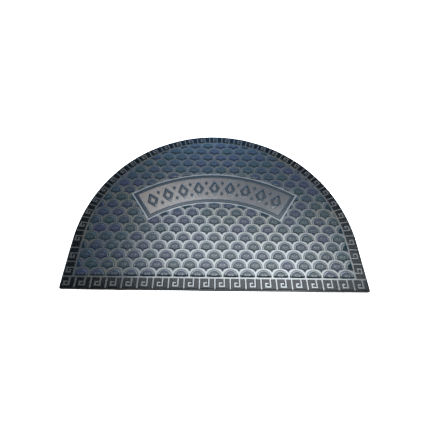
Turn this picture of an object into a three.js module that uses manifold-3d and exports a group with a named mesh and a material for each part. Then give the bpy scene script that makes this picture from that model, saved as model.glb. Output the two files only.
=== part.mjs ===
// A half round PVC doormat, 600 mm wide and 400 mm deep, lying flat.
// A PVC sheet carries a ribbed pile face. The face is pressed flat along the lines of its
// pattern, so what lies between the lines stands up: a Greek key border, a field of fish
// scales and an arched panel with a frame and a row of lozenges.
// Millimetres, +Z up. X runs along the straight edge and +Y towards the round one. The origin
// is the middle of the mat's own box, on its underside.
import * as THREE from "three";
import { mergeGeometries, mergeVertices } from "three/addons/utils/BufferGeometryUtils.js";
import Module from "manifold-3d";

const wasm = await Module();
wasm.setup();

// Sizes of the whole mat
const WIDTH = 600;
const DEPTH = 400;
const RADIUS = WIDTH / 2;
const CORNER_RADIUS = 5;
const EDGE_Y = -DEPTH / 2;
const ARC_Y = EDGE_Y + DEPTH - RADIUS;
const ARC_STEPS = 48;
const CORNER_STEPS = 3;

// Layers, from the floor up
const BACKING_THICKNESS = 2.0;
const PRESSED_THICKNESS = 1.5;
const PILE_HEIGHT = 2.0;
const PRESSED_TOP = BACKING_THICKNESS + PRESSED_THICKNESS;
const PILE_TOP = PRESSED_TOP + PILE_HEIGHT;
const RAISED_FROM = BACKING_THICKNESS + PRESSED_THICKNESS / 2; // raised parts root in the web
const RIM = 3.4; // width of bare PVC outside the face

// Border: a band of Greek key outside one pressed line that runs all round
const BORDER_LINE = 3.4;
const KEY_LINE = 2.9;
const HOOK_BAR_END = 5.4; // reach of a hook's inner bar past its upright
const BLOCK_OVERHANG = 4; // border blocks run past the face's edge, which trims them

// The band along the straight edge and the band round the rest. The depth is from the mat's
// edge to the middle of the line. The hook's strokes are measured from the tick before it, and
// its bars from the line.
const BOTTOM_BAND = { depth: 24.9, stem: 18.2, upright: 8.9, outerBar: 16.4, innerBar: 10 };
const SIDE_BAND = { depth: 22.8, stem: 12.2, upright: 21.3, outerBar: 15.4, innerBar: 8.4 };

// Units of the key from one tick to the next, in order. The side band has one wide unit, low on
// the left side, and its last two share what is left.
const BOTTOM_UNITS = [{ count: 20, pitch: 30 }];
const SIDE_UNITS = [{ count: 30, pitch: 30.78 }, { count: 1, pitch: 38 }, { count: 2 }];

// Field of fish scales, each a half circle on two hollow quarter circles
const SCALE_PITCH = 32.8;
const SCALE_RADIUS = SCALE_PITCH / 2;
const SCALE_ROW = 19.83;
const SCALE_FIRST_ROW = EDGE_Y + 26.9; // arc centres of the row that stands on the border line
const SCALE_OFFSET_X = -1.3;
const SCALE_ROWS = 19;
const SCALE_COLUMNS = 19;
const SCALE_LINE = 2.2;
const SCALE_ARC_ANGLES = [38, 90, 142];
const SCALE_ARC_SWELL = 1.03; // corners stand a little outside the true arc, sides inside it

// Arched panel, drawn on circles about one centre in front of the mat
const PANEL_CENTRE_X = -1;
const PANEL_CENTRE_Y = EDGE_Y - 63.5;
const PANEL_OUTER_RADIUS = 339;
const PANEL_INNER_RADIUS = 259.5;
const PANEL_HALF_ANGLE = 34;
const PANEL_LINE = 2.6;
const PANEL_FRAME = 8.5;
const PANEL_STEPS = 16;

// Ornament on the panel: a row of lozenges with small diamonds between them
const LOZENGE_COUNT = 9;
const LOZENGE_STEP = 7; // degrees
const LOZENGE = { halfHeight: 21, halfWidth: 13 };
const LOZENGE_EYE = { halfHeight: 8.5, halfWidth: 5.2 };
const DIAMOND = { halfHeight: 6, halfWidth: 4.2 };
const DIAMOND_OFFSET = 14.5; // from the row's middle circle

const degrees = (angle) => THREE.MathUtils.degToRad(angle);
const point = (x, y) => new THREE.Vector2(x, y);

// Solids

// A closed geometry between two heights over a flat outline, with holes if any are given.
function prismGeometry(outline, low, high, holes = []) {
  const shape = new THREE.Shape(outline);
  shape.holes = holes.map((hole) => new THREE.Path(hole));
  const geometry = new THREE.ExtrudeGeometry(shape, { depth: high - low, bevelEnabled: false });
  return geometry.translate(0, 0, low);
}

// One solid from geometries that don't touch each other.
function solidOf(geometries) {
  const bare = geometries.map((geometry) => {
    const copy = geometry.clone();
    copy.deleteAttribute("normal");
    copy.deleteAttribute("uv");
    return mergeVertices(copy, 1e-4);
  });
  const merged = mergeGeometries(bare);
  return new wasm.Manifold(
    new wasm.Mesh({
      numProp: 3,
      vertProperties: merged.attributes.position.array,
      triVerts: new Uint32Array(merged.index.array),
    }),
  );
}

function meshOf(solid, name, material) {
  const { vertProperties, triVerts } = solid.getMesh();
  const geometry = new THREE.BufferGeometry();
  geometry.setAttribute("position", new THREE.BufferAttribute(vertProperties, 3));
  geometry.setIndex(new THREE.BufferAttribute(triVerts, 1));
  geometry.computeVertexNormals();
  const mesh = new THREE.Mesh(geometry, material);
  mesh.name = name;
  return mesh;
}

// Outlines

// The mat's half round outline, drawn in by one distance at the round edge and the sides and by
// another at the straight edge, anticlockwise.
function halfRound(inset, bottomInset = inset) {
  const radius = RADIUS - inset;
  const bottom = EDGE_Y + bottomInset;
  const corner = Math.max(CORNER_RADIUS - inset, 1);
  const outline = [];
  for (const [side, start] of [[-1, 180], [1, 270]]) {
    for (let i = 0; i <= CORNER_STEPS; i += 1) {
      const angle = degrees(start + (90 * i) / CORNER_STEPS);
      const x = side * (radius - corner) + corner * Math.cos(angle);
      outline.push(point(x, bottom + corner + corner * Math.sin(angle)));
    }
  }
  for (let i = 0; i <= ARC_STEPS; i += 1) {
    const angle = (Math.PI * i) / ARC_STEPS;
    outline.push(point(radius * Math.cos(angle), ARC_Y + radius * Math.sin(angle)));
  }
  return outline;
}

// A point of the arched panel, at a radius and an angle clockwise from straight up.
function onPanel(radius, angle) {
  const turn = degrees(angle);
  return point(PANEL_CENTRE_X + radius * Math.sin(turn), PANEL_CENTRE_Y + radius * Math.cos(turn));
}

// The arched panel's outline, drawn in by a distance on all four sides.
function arch(inset) {
  const outer = PANEL_OUTER_RADIUS - inset;
  const inner = PANEL_INNER_RADIUS + inset;
  const outline = [];
  for (const [radius, way] of [[outer, -1], [inner, 1]]) {
    const end = PANEL_HALF_ANGLE - THREE.MathUtils.radToDeg(Math.asin(inset / radius));
    for (let i = 0; i <= PANEL_STEPS; i += 1) {
      outline.push(onPanel(radius, way * end * ((2 * i) / PANEL_STEPS - 1)));
    }
  }
  return outline;
}

// Border

// The line inside the bottom band, and the one inside the side band from the right corner round
// to the left one. Each takes a length along the line and a height over it, towards the edge.
function onBottomBand(along, height) {
  return point(along - RADIUS, EDGE_Y + BOTTOM_BAND.depth - height);
}

const sideRadius = RADIUS - SIDE_BAND.depth;
const sideStraight = ARC_Y - EDGE_Y - BOTTOM_BAND.depth;
const sideLength = 2 * sideStraight + Math.PI * sideRadius;
function onSideBand(along, height) {
  const reach = sideRadius + height;
  const arcLength = along - sideStraight;
  if (arcLength <= 0) {
    return point(reach, ARC_Y + arcLength);
  }
  const turn = arcLength / sideRadius;
  if (turn >= Math.PI) {
    return point(-reach, ARC_Y - (turn - Math.PI) * sideRadius);
  }
  return point(reach * Math.cos(turn), ARC_Y + reach * Math.sin(turn));
}

// The raised block between two ticks, with its hook pressed in, as lengths and heights. The
// hook rises from the border line, runs along the edge, turns back and then inwards.
function keyBlock(start, end, { depth, stem, upright, outerBar, innerBar }) {
  const half = KEY_LINE / 2;
  const foot = BORDER_LINE / 2;
  const top = depth + BLOCK_OVERHANG;
  const way = Math.sign(upright - stem); // where the hook goes from its stem
  const stemAt = start + stem;
  const uprightAt = start + upright;
  const barEnd = uprightAt - way * HOOK_BAR_END;
  const groove = [
    [stemAt + way * half, foot],
    [stemAt + way * half, outerBar - half],
    [uprightAt - way * half, outerBar - half],
    [uprightAt - way * half, innerBar + half],
    [barEnd, innerBar + half],
    [barEnd, innerBar - half],
    [uprightAt + way * half, innerBar - half],
    [uprightAt + way * half, outerBar + half],
    [stemAt - way * half, outerBar + half],
    [stemAt - way * half, foot],
  ];
  const left = start + half;
  const right = end - half;
  const ordered = way > 0 ? groove.reverse() : groove;
  return [[left, foot], ...ordered, [right, foot], [right, top], [left, top]];
}

// A band's blocks. A row of units with no pitch shares the length that is left.
function keyBlocks(length, units, band, place) {
  const blocks = [];
  let start = 0;
  for (const { count, pitch = (length - start) / count } of units) {
    for (let i = 0; i < count; i += 1) {
      const outline = keyBlock(start, start + pitch, band);
      const placed = outline.map(([along, height]) => place(along, height));
      blocks.push(prismGeometry(placed, RAISED_FROM, PILE_TOP));
      start += pitch;
    }
  }
  return blocks;
}

function border() {
  return solidOf([
    ...keyBlocks(WIDTH, BOTTOM_UNITS, BOTTOM_BAND, onBottomBand),
    ...keyBlocks(sideLength, SIDE_UNITS, SIDE_BAND, onSideBand),
  ]);
}

// Field

// One scale about the centre of its arc, half a line's width inside its true outline.
function scaleOutline() {
  const half = SCALE_LINE / 2;
  const hollow = SCALE_RADIUS + half;
  const swollen = (SCALE_RADIUS - half) * SCALE_ARC_SWELL;
  const cornerAngle = Math.acos(-half / hollow);
  const tipAngle = Math.acos(-SCALE_RADIUS / hollow);
  const lower = [tipAngle, (cornerAngle + tipAngle) / 2, cornerAngle].map((angle) =>
    point(SCALE_RADIUS + hollow * Math.cos(angle), -SCALE_ROW + hollow * Math.sin(angle)),
  );
  const upper = SCALE_ARC_ANGLES.map((angle) =>
    point(swollen * Math.cos(degrees(angle)), swollen * Math.sin(degrees(angle))),
  );
  const mirrored = lower.slice(1).reverse().map(({ x, y }) => point(-x, y));
  return [...lower, ...upper, ...mirrored];
}

function scales() {
  const outline = scaleOutline();
  const made = [];
  for (let row = 0; row < SCALE_ROWS; row += 1) {
    const y = SCALE_FIRST_ROW + row * SCALE_ROW;
    const shift = row % 2 === 0 ? 0 : 0.5;
    for (let column = 0; column < SCALE_COLUMNS; column += 1) {
      const x = SCALE_OFFSET_X + (column - (SCALE_COLUMNS - 1) / 2 + shift) * SCALE_PITCH;
      const placed = outline.map((corner) => point(corner.x + x, corner.y + y));
      made.push(prismGeometry(placed, RAISED_FROM, PILE_TOP));
    }
  }
  const inside = halfRound(SIDE_BAND.depth + BORDER_LINE / 2, BOTTOM_BAND.depth + BORDER_LINE / 2);
  const field = solidOf([prismGeometry(inside, 0, 2 * PILE_TOP)]);
  const panel = solidOf([prismGeometry(arch(-PANEL_LINE / 2), 0, 2 * PILE_TOP)]);
  return solidOf(made).intersect(field).subtract(panel);
}

// Arched panel

// A lozenge on the panel, as corners about an angle and a radius.
function lozenge(angle, radius, { halfHeight, halfWidth }) {
  const halfAngle = THREE.MathUtils.radToDeg(halfWidth / radius);
  return [
    onPanel(radius, angle + halfAngle),
    onPanel(radius + halfHeight, angle),
    onPanel(radius, angle - halfAngle),
    onPanel(radius - halfHeight, angle),
  ];
}

function archedPanel() {
  const middle = (PANEL_OUTER_RADIUS + PANEL_INNER_RADIUS) / 2;
  const frameOutside = arch(PANEL_LINE / 2);
  const frameInside = arch(PANEL_LINE / 2 + PANEL_FRAME);
  const made = [prismGeometry(frameOutside, RAISED_FROM, PILE_TOP, [frameInside])];
  for (let i = 0; i < LOZENGE_COUNT; i += 1) {
    const angle = (i - (LOZENGE_COUNT - 1) / 2) * LOZENGE_STEP;
    const eye = lozenge(angle, middle, LOZENGE_EYE);
    made.push(prismGeometry(lozenge(angle, middle, LOZENGE), RAISED_FROM, PILE_TOP, [eye]));
    if (i + 1 < LOZENGE_COUNT) {
      for (const offset of [-DIAMOND_OFFSET, DIAMOND_OFFSET]) {
        const between = lozenge(angle + LOZENGE_STEP / 2, middle + offset, DIAMOND);
        made.push(prismGeometry(between, RAISED_FROM, PILE_TOP));
      }
    }
  }
  return solidOf(made);
}

// The two pieces

function backing() {
  const material = new THREE.MeshStandardMaterial({
    color: 0x17191b,
    roughness: 0.5,
    metalness: 0,
  });
  const sheet = solidOf([prismGeometry(halfRound(0), 0, BACKING_THICKNESS)]);
  return meshOf(sheet, "backing", material);
}

function face() {
  const material = new THREE.MeshStandardMaterial({
    color: 0x4b5761,
    roughness: 0.6,
    metalness: 0,
  });
  const web = solidOf([prismGeometry(halfRound(0), BACKING_THICKNESS, PRESSED_TOP)]);
  const trim = solidOf([prismGeometry(halfRound(RIM), BACKING_THICKNESS, PILE_TOP)]);
  const raised = web.add(border()).add(scales()).add(archedPanel());
  return meshOf(raised.intersect(trim), "face", material);
}

const mat = new THREE.Group();
mat.name = "half_round_doormat";
mat.add(backing(), face());

export default mat;
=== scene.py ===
"""The looks of a half round PVC doormat, laid out as a Blender add-on.

A PVC sheet carries a ribbed pile face. The face is pressed flat along the lines of its pattern,
so what lies between the lines stands up: a Greek key border, a field of fish scales and an
arched panel with a frame and a row of lozenges. Everything is in metres, in the frame of the
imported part: +X along the straight edge, +Y towards the round one, +Z up.
"""
import math

import bmesh
import bpy
from bpy.props import FloatProperty, FloatVectorProperty, IntProperty, PointerProperty
from bpy.types import Operator, Panel, PropertyGroup
from mathutils import Matrix, Vector


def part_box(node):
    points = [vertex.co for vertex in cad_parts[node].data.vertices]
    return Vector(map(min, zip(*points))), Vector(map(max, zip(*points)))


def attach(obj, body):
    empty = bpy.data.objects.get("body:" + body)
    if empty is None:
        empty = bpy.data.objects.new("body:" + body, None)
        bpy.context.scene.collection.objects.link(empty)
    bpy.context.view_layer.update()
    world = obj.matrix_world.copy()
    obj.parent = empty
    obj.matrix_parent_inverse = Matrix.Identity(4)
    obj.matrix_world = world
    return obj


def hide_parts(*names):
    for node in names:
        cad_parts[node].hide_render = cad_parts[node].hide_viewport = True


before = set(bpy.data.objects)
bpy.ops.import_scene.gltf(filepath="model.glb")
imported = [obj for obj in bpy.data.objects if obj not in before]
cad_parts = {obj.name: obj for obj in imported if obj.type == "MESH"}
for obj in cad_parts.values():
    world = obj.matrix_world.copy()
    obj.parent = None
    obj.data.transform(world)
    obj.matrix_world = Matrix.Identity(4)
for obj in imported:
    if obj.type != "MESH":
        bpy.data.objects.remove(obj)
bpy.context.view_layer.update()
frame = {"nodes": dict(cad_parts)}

bl_info = {
    "name": "Half round doormat",
    "version": (1, 0, 0),
    "blender": (4, 5, 0),
    "location": "View3D > Sidebar > Doormat",
    "description": "Builds a half round PVC doormat with a pressed, ribbed pile face",
    "category": "Object",
}

MM = 0.001
SHEET_LOW, SHEET_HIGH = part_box("backing")
BLACK = (0.0, 0.0, 0.0)
WHITE = (1.0, 1.0, 1.0)


# Settings

def length(name, default, description):
    """A length setting, given in millimetres."""
    return span(name, default * MM, description)


def span(name, default, description):
    """A length setting, given in metres."""
    return number(name, default, description, unit="LENGTH")


def angle(name, degrees, description):
    """An angle setting, given in degrees."""
    return FloatProperty(
        name=name, description=description, default=math.radians(degrees), subtype="ANGLE"
    )


def number(name, default, description, unit="NONE"):
    """A setting that is a number."""
    return FloatProperty(
        name=name, description=description, default=default, precision=5, unit=unit
    )


def count(name, default, description, least=1):
    """A setting that counts something."""
    return IntProperty(name=name, description=description, default=default, min=least)


def position(name, default, description):
    """A setting that is a place."""
    return FloatVectorProperty(
        name=name, description=description, default=default, subtype="TRANSLATION", unit="LENGTH"
    )


def colour(name, default, description):
    """A colour setting."""
    return FloatVectorProperty(
        name=name, description=description, default=default, subtype="COLOR", min=0, max=1
    )


class MatSizes(PropertyGroup):
    """Sizes of the whole mat and of its layers."""

    width: span("Width", SHEET_HIGH.x - SHEET_LOW.x, "Length of the straight edge")
    depth: span("Depth", SHEET_HIGH.y - SHEET_LOW.y, "From the straight edge to the arc's top")
    corner: length("Corner radius", 5, "Radius of the two corners")
    sheet_top: length("Sheet", 2, "Height of the PVC under the face")
    pressed_top: length("Pressed height", 3.8, "Height of the pressed lines")
    block_top: length("Block height", 4.7, "Height of the border's blocks and the panel's frame")
    pile_top: length("Pile height", 5.5, "Height of the raised pile")
    root: length("Root height", 2.75, "Height inside the pressed face where raised pieces begin")
    rim: length("Rim", 3.4, "Width of bare PVC outside the face")
    waver: length("Edge waver", 0.35, "How far the edge strays from its true line")


class BorderSizes(PropertyGroup):
    """Sizes of the Greek key border."""

    line: length("Border line", 3.4, "Width of the line between border and field")
    key_line: length("Key line", 2.5, "Width of the pressed lines of the key")
    bar_end: length("Bar end", 5.4, "Reach of a hook's inner bar past its upright")
    bottom_depth: length("Bottom band", 24.9, "From the straight edge to the middle of the line")
    bottom_stem: length("Bottom stem", 18.2, "From a tick to the hook's stem")
    bottom_upright: length("Bottom upright", 8.9, "From a tick to the hook's upright")
    bottom_outer_bar: length("Bottom outer bar", 16.4, "Height of the hook's outer bar")
    bottom_inner_bar: length("Bottom inner bar", 10, "Height of the hook's inner bar")
    bottom_pitch: length("Bottom unit", 30, "From tick to tick along the straight edge")
    bottom_count: count("Bottom units", 20, "Key units along the straight edge", 3)
    side_depth: length("Side band", 22.8, "From the round edge to the middle of the line")
    side_stem: length("Side stem", 12.2, "From a tick to the hook's stem")
    side_upright: length("Side upright", 21.3, "From a tick to the hook's upright")
    side_outer_bar: length("Side outer bar", 15.4, "Height of the hook's outer bar")
    side_inner_bar: length("Side inner bar", 8.4, "Height of the hook's inner bar")
    side_pitch: length("Side unit", 30.78, "From tick to tick along the round edge")
    side_count: count("Side units", 30, "Equal key units along the round edge")
    side_wide_pitch: length("Wide unit", 38, "The one wide unit, low on the left side")
    side_last_count: count("Last units", 2, "Units that share what is left")
    shoulder: length("Shoulder", 0.8, "Rounding of a block's top edge")


class ScaleSizes(PropertyGroup):
    """Sizes of the field of fish scales."""

    pitch: length("Pitch", 32.8, "From scale to scale in a row")
    row: length("Row", 19.83, "From row to row")
    first_row: length("First row", 26.9, "From the straight edge to the first row's arc centres")
    offset: length("Offset", -1.3, "How far the pattern stands off the mat's middle")
    line: length("Line", 1.55, "Width of the pressed line round a scale")
    tip: length("Tip", 10.4, "From the arc's centre down to a scale's tip")
    edge_top: length("Edge top", 4.05, "Height of a scale at its outline")
    foot_top: length("Foot top", 4.12, "Height of a scale at the foot of its pad")
    foot_side: length("Foot side", 12.0, "From the arc's centre to the foot of the pad")
    foot_tip: length("Foot tip", 5.3, "From the arc's centre down to the foot's lower tip")
    pad_edge: length("Pad edge", 5.42, "Height of the pad's front edge")
    pad_top: length("Pad top", 10.4, "From the arc's centre to the top of the pad")
    pad_side: length("Pad side", 10.6, "From the arc's centre to the side of the pad")
    pad_tip: length("Pad tip", 4.0, "From the arc's centre down to the pad's lower tip")
    pad_fall: number("Pad fall", 0.045, "Slope of the pad's edge towards the back")
    rows: count("Rows", 19, "Rows of scales")
    columns: count("Columns", 19, "Scales in a row")
    seed: count("Seed", 7, "Seed of the scales' tints", 0)


class PanelSizes(PropertyGroup):
    """Sizes of the arched panel, drawn on circles about one centre in front of the mat."""

    centre_x: length("Centre X", -1, "The circles' centre along the straight edge")
    centre_drop: length("Centre drop", 63.5, "How far the centre lies in front of the edge")
    outer: length("Outer radius", 339, "Middle of the upper outline")
    inner: length("Inner radius", 259.5, "Middle of the lower outline")
    half_angle: angle("Half angle", 34, "From the middle to either end")
    line: length("Line", 3.2, "Width of the pressed outline")
    frame: length("Frame", 8.5, "Width of the raised frame")
    lozenge_height: length("Lozenge half height", 21, "From a lozenge's middle to its top")
    lozenge_width: length("Lozenge half width", 13, "From a lozenge's middle to its side")
    eye_height: length("Eye half height", 8.5, "From a lozenge's middle to its eye's top")
    eye_width: length("Eye half width", 5.2, "From a lozenge's middle to its eye's side")
    diamond_height: length("Diamond half height", 6, "From a small diamond's middle to its top")
    diamond_width: length("Diamond half width", 4.2, "From a small diamond's middle to its side")
    diamond_offset: length("Diamond offset", 14.5, "From the row's middle circle to a diamond")
    lozenges: count("Lozenges", 9, "Lozenges in the row", 2)
    step: angle("Step", 7, "Angle from lozenge to lozenge")


class Finishes(PropertyGroup):
    """Colours and grain of the mat and the floor."""

    key_pile: colour("Key pile", (0.001, 0.0018, 0.0035), "Raised blocks of the border")
    pad: colour("Pad", (0.005, 0.016, 0.032), "Raised pads of the scales")
    pad_blue: colour("Blue pad", (0.009, 0.014, 0.042), "Pads that are bluest")
    pad_green: colour("Green pad", (0.003, 0.020, 0.026), "Pads that are greenest")
    frame_pile: colour("Frame pile", (0.013, 0.024, 0.036), "Raised frame and lozenges")
    pressed: colour("Pressed pile", (0.034, 0.040, 0.045), "Pile that was melted flat")
    pressed_warm: colour("Warm pressed pile", (0.058, 0.054, 0.040), "Warmer pressed pile")
    # Painted light: the panel's ground and outline are painted lighter than the other pressed
    # pile, since the same melted pile shows brighter on the open panel than in the narrow, shaded
    # lines among the scales. The ground is lightest and warm at its left end, darker and cool at
    # its right.
    ground_left: colour("Left ground", (0.150, 0.118, 0.100), "Panel's ground at its left end")
    ground_right: colour("Right ground", (0.045, 0.044, 0.049), "Panel's ground at its right end")
    outline: colour("Panel outline", (0.175, 0.180, 0.188), "Pressed outline of the panel")
    sheet: colour("PVC", (0.005, 0.0055, 0.006), "Bare PVC")
    scuff: colour("Scuffed PVC", (0.02, 0.022, 0.025), "Bare PVC where it is scuffed")
    floor: colour("Floor", (0.92, 0.92, 0.92), "Floor under the mat")
    floor_cloud: colour("Floor cloud", (0.86, 0.86, 0.86), "Duller patches of the floor")
    rib: length("Rib", 3, "From rib to rib of the pile")


class StageSettings(PropertyGroup):
    """The camera, the lights and the floor."""

    camera: position("Camera", (-0.0137, -0.2997, 0.4978), "Where the camera stands")
    pitch: angle("Pitch", 61.88, "How far the camera looks down")
    yaw: angle("Yaw", -0.43, "How far the camera is turned to the left")
    roll: angle("Roll", 1.11, "How far the camera is tilted")
    lens: number("Lens", 21.11, "Focal length for a 36 mm sensor", "CAMERA")
    shift: number("Shift", 0.01256, "Sideways shift of the lens")
    key_place: position("Key light", (0.273, 0.266, 1.50), "Where the large soft light hangs")
    key_power: number("Key power", 38, "Power of the large soft light", "POWER")
    key_width: span("Key width", 1.55, "Width of the large soft light")
    key_depth: span("Key depth", 0.75, "Depth of the large soft light")
    key: colour("Key colour", (0.87, 0.95, 1.0), "Colour of both soft lights")
    key_turn: angle("Key turn", -20, "How far both soft lights are turned about Z")
    side_place: position("Side light", (0.66, 0.30, 1.48), "Where the small soft light hangs")
    side_power: number("Side power", 4.5, "Power of the small soft light", "POWER")
    side_width: span("Side width", 0.5, "Width of the small soft light")
    side_depth: span("Side depth", 0.8, "Depth of the small soft light")
    back: colour("Back light", (0.25, 0.55, 1.0), "Even light from behind")
    back_strength: number("Back strength", 1.25, "Strength of the light from behind")
    back_from: FloatVectorProperty(
        name="Back direction", description="Where the light from behind comes from",
        subtype="DIRECTION", default=(0.0, 1.0, 0.5),
    )
    back_spread: angle("Back spread", 35, "How wide the light from behind is")
    sky: colour("Sky", (1.0, 0.98, 0.96), "Light from all round")
    sky_strength: number("Sky strength", 0.13, "Strength of the light from all round")
    floor_size: span("Floor size", 24, "Side of the floor")
    floor_glow: number("Floor glow", 1.0, "Own light of the floor, which keeps it white")


class Doormat(PropertyGroup):
    """All settings of the doormat."""

    mat: PointerProperty(type=MatSizes, name="Mat", description="The whole mat")
    border: PointerProperty(type=BorderSizes, name="Border", description="Greek key border")
    scale: PointerProperty(type=ScaleSizes, name="Scales", description="Field of scales")
    panel: PointerProperty(type=PanelSizes, name="Panel", description="Arched panel")
    finish: PointerProperty(type=Finishes, name="Finishes", description="Colours and grain")
    stage: PointerProperty(type=StageSettings, name="Stage", description="Camera and lights")


# Node trees

class Wire:
    """A node's output. Arithmetic on it adds Math nodes to its tree."""

    def __init__(self, graph, socket):
        self.graph = graph
        self.socket = socket

    def other(self, name):
        """Another output of the same node."""
        return Wire(self.graph, self.socket.node.outputs[name])

    def __add__(self, value):
        return self.graph.math("ADD", self, value)

    def __radd__(self, value):
        return self.graph.math("ADD", value, self)

    def __sub__(self, value):
        return self.graph.math("SUBTRACT", self, value)

    def __rsub__(self, value):
        return self.graph.math("SUBTRACT", value, self)

    def __mul__(self, value):
        return self.graph.math("MULTIPLY", self, value)

    def __rmul__(self, value):
        return self.graph.math("MULTIPLY", value, self)

    def __truediv__(self, value):
        return self.graph.math("DIVIDE", self, value)

    def __rtruediv__(self, value):
        return self.graph.math("DIVIDE", value, self)

    def __lt__(self, value):
        return self.graph.math("LESS_THAN", self, value)

    def __gt__(self, value):
        return self.graph.math("GREATER_THAN", self, value)


class Graph:
    """Fills a node tree."""

    def __init__(self, tree):
        self.tree = tree
        tree.nodes.clear()

    def node(self, kind, settings=None, inputs=None, output=0):
        """Adds a node, sets its settings and then its sockets, and gives one of its outputs."""
        made = self.tree.nodes.new(kind)
        for name, value in (settings or {}).items():
            if name == "stops":
                ramp = made.color_ramp
                while len(ramp.elements) < len(value):
                    ramp.elements.new(0.5)
                for element, (place, tone) in zip(ramp.elements, value):
                    element.position = place
                    element.color = (*tone, 1)
            else:
                setattr(made, name, value)
        for name, value in (inputs or {}).items():
            socket = self.find(made.inputs, name)
            wires = value if isinstance(value, list) else [value]
            if isinstance(wires[0], Wire):
                for wire in wires:
                    self.tree.links.new(wire.socket, socket)
            elif socket.type == "RGBA" and len(value) == 3:
                socket.default_value = (*value, 1)
            else:
                socket.default_value = value
        if not len(made.outputs):
            return made
        return Wire(self, self.find(made.outputs, output))

    @staticmethod
    def find(sockets, name):
        """A socket by its number, or the socket in use that has a name."""
        if isinstance(name, int):
            return sockets[name]
        return next(socket for socket in sockets if socket.enabled and socket.name == name)

    def math(self, operation, *values):
        return self.node("ShaderNodeMath", {"operation": operation}, dict(enumerate(values)))

    def reach(self, x, y):
        """How far a point lies from the origin of X and Y."""
        return self.math("SQRT", x * x + y * y)

    def split(self, vector):
        """A vector's three numbers."""
        x = self.node("ShaderNodeSeparateXYZ", {}, {"Vector": vector}, "X")
        return x, x.other("Y"), x.other("Z")

    def vector(self, x=0.0, y=0.0, z=0.0):
        """A vector from three numbers."""
        return self.node("ShaderNodeCombineXYZ", {}, {"X": x, "Y": y, "Z": z})

    def ease(self, value, low, high):
        """Rises smoothly from 0 at low to 1 at high."""
        return self.node(
            "ShaderNodeMapRange",
            {"interpolation_type": "SMOOTHSTEP"},
            {"Value": value, "From Min": low, "From Max": high},
        )

    def blend(self, share, first, second):
        """Mixes two colours."""
        inputs = {"Factor": share, "A": first, "B": second}
        return self.node("ShaderNodeMix", {"data_type": "RGBA"}, inputs, "Result")

    def mix(self, share, first, second):
        """Mixes two shaders."""
        return self.node("ShaderNodeMixShader", {}, {0: share, 1: first, 2: second})


class MaterialGraph(Graph):
    """Fills a new material. Its patterns lie on the object's own coordinates."""

    def __init__(self, name):
        self.material = bpy.data.materials.new(name)
        self.material.use_nodes = True
        super().__init__(self.material.node_tree)
        self.place = self.node("ShaderNodeTexCoord", {}, {}, "Object")
        self.x, self.y, self.z = self.split(self.place)

    def noise(self, scale, detail=2, stretch=None):
        """Noise from 0 to 1, with its place stretched first if asked."""
        place = self.place
        if stretch:
            place = self.node("ShaderNodeMapping", {}, {"Vector": place, "Scale": stretch})
        inputs = {"Vector": place, "Scale": scale, "Detail": detail}
        return self.node("ShaderNodeTexNoise", {"noise_dimensions": "3D"}, inputs, "Fac")

    def ribs(self, drift, rib):
        """The pile's ribs, which wander a little: 1 on a rib and 0 between ribs."""
        wave = self.math("SINE", (self.x + drift * RIB_WANDER) * (2 * math.pi / rib))
        return wave * 0.5 + 0.5

    def bump(self, height, depth=0.1 * MM):
        """A normal from a height between 0 and 1 and a depth in metres."""
        inputs = {"Height": height, "Distance": depth, "Strength": 1.0}
        return self.node("ShaderNodeBump", {}, inputs, "Normal")

    def surface(self, shade, roughness, normal, gloss=0.5, glow=0.0):
        """One shader. Its gloss and glow are the same all over."""
        return self.node("ShaderNodeBsdfPrincipled", {}, {
            "Base Color": shade, "Roughness": roughness, "Normal": normal,
            "Specular IOR Level": gloss, "Emission Strength": glow,
        })

    def close(self, shader):
        """Ends the material in a shader."""
        self.node("ShaderNodeOutputMaterial", {}, {"Surface": shader})
        return self.material


class MeshGraph(Graph):
    """Fills a new Geometry Nodes tree. Its named inputs are listed by their kind."""

    def __init__(self, name, **inputs):
        tree = bpy.data.node_groups.new(name, "GeometryNodeTree")
        super().__init__(tree)
        for kind, names in {"Geometry": ["Geometry"], **inputs, "Material": ["Material"]}.items():
            for each in names:
                tree.interface.new_socket(each, in_out="INPUT", socket_type="NodeSocket" + kind)
        tree.interface.new_socket("Geometry", in_out="OUTPUT", socket_type="NodeSocketGeometry")
        self.given = self.node("NodeGroupInput").other

    def shape_of(self, piece):
        """The mesh of an object."""
        return self.node("GeometryNodeObjectInfo", {}, {"Object": piece}, "Geometry")

    def copies(self, points, piece, **more):
        """Copies of an object on points."""
        inputs = {"Points": points, "Instance": self.shape_of(piece), **more}
        return self.node("GeometryNodeInstanceOnPoints", {}, inputs)

    def realized(self, copies):
        """Copies turned into one real mesh."""
        return self.node("GeometryNodeRealizeInstances", {}, {"Geometry": copies})

    def moved(self, mesh, place):
        """A mesh with its points moved to a place."""
        return self.node("GeometryNodeSetPosition", {}, {"Geometry": mesh, "Position": place})

    def cut(self, operation, inputs):
        """A Boolean of closed meshes."""
        settings = {"operation": operation, "solver": "MANIFOLD"}
        return self.node("GeometryNodeMeshBoolean", settings, inputs)

    def close(self, mesh):
        """Ends the tree in a mesh with the given material."""
        inputs = {"Geometry": mesh, "Material": self.given("Material")}
        done = self.node("GeometryNodeSetMaterial", {}, inputs)
        self.node("NodeGroupOutput", {}, {"Geometry": done})
        return self.tree


# Finishes

RIB_WANDER = 0.6 * MM

# Noise scales per metre, and how noise is stretched along the ribs.
DRIFT, FIBRE, ALONG = 45, 900, (1, 0.3, 1)
MELTED_DRIFT, MELTED_FIBRE, MELTED_ALONG, MOTTLE = 30, 800, (1, 0.25, 1), 140
WARM_PATCH, WARM_EDGE = 12, (0.45, 0.62)
PVC_GRAIN, PVC_SCUFF = 1400, 60
FLOOR_CLOUD, FLOOR_GRAIN = 3, 300

# From line to line of the grip under the sheet.
GRIP = 6 * MM

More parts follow.
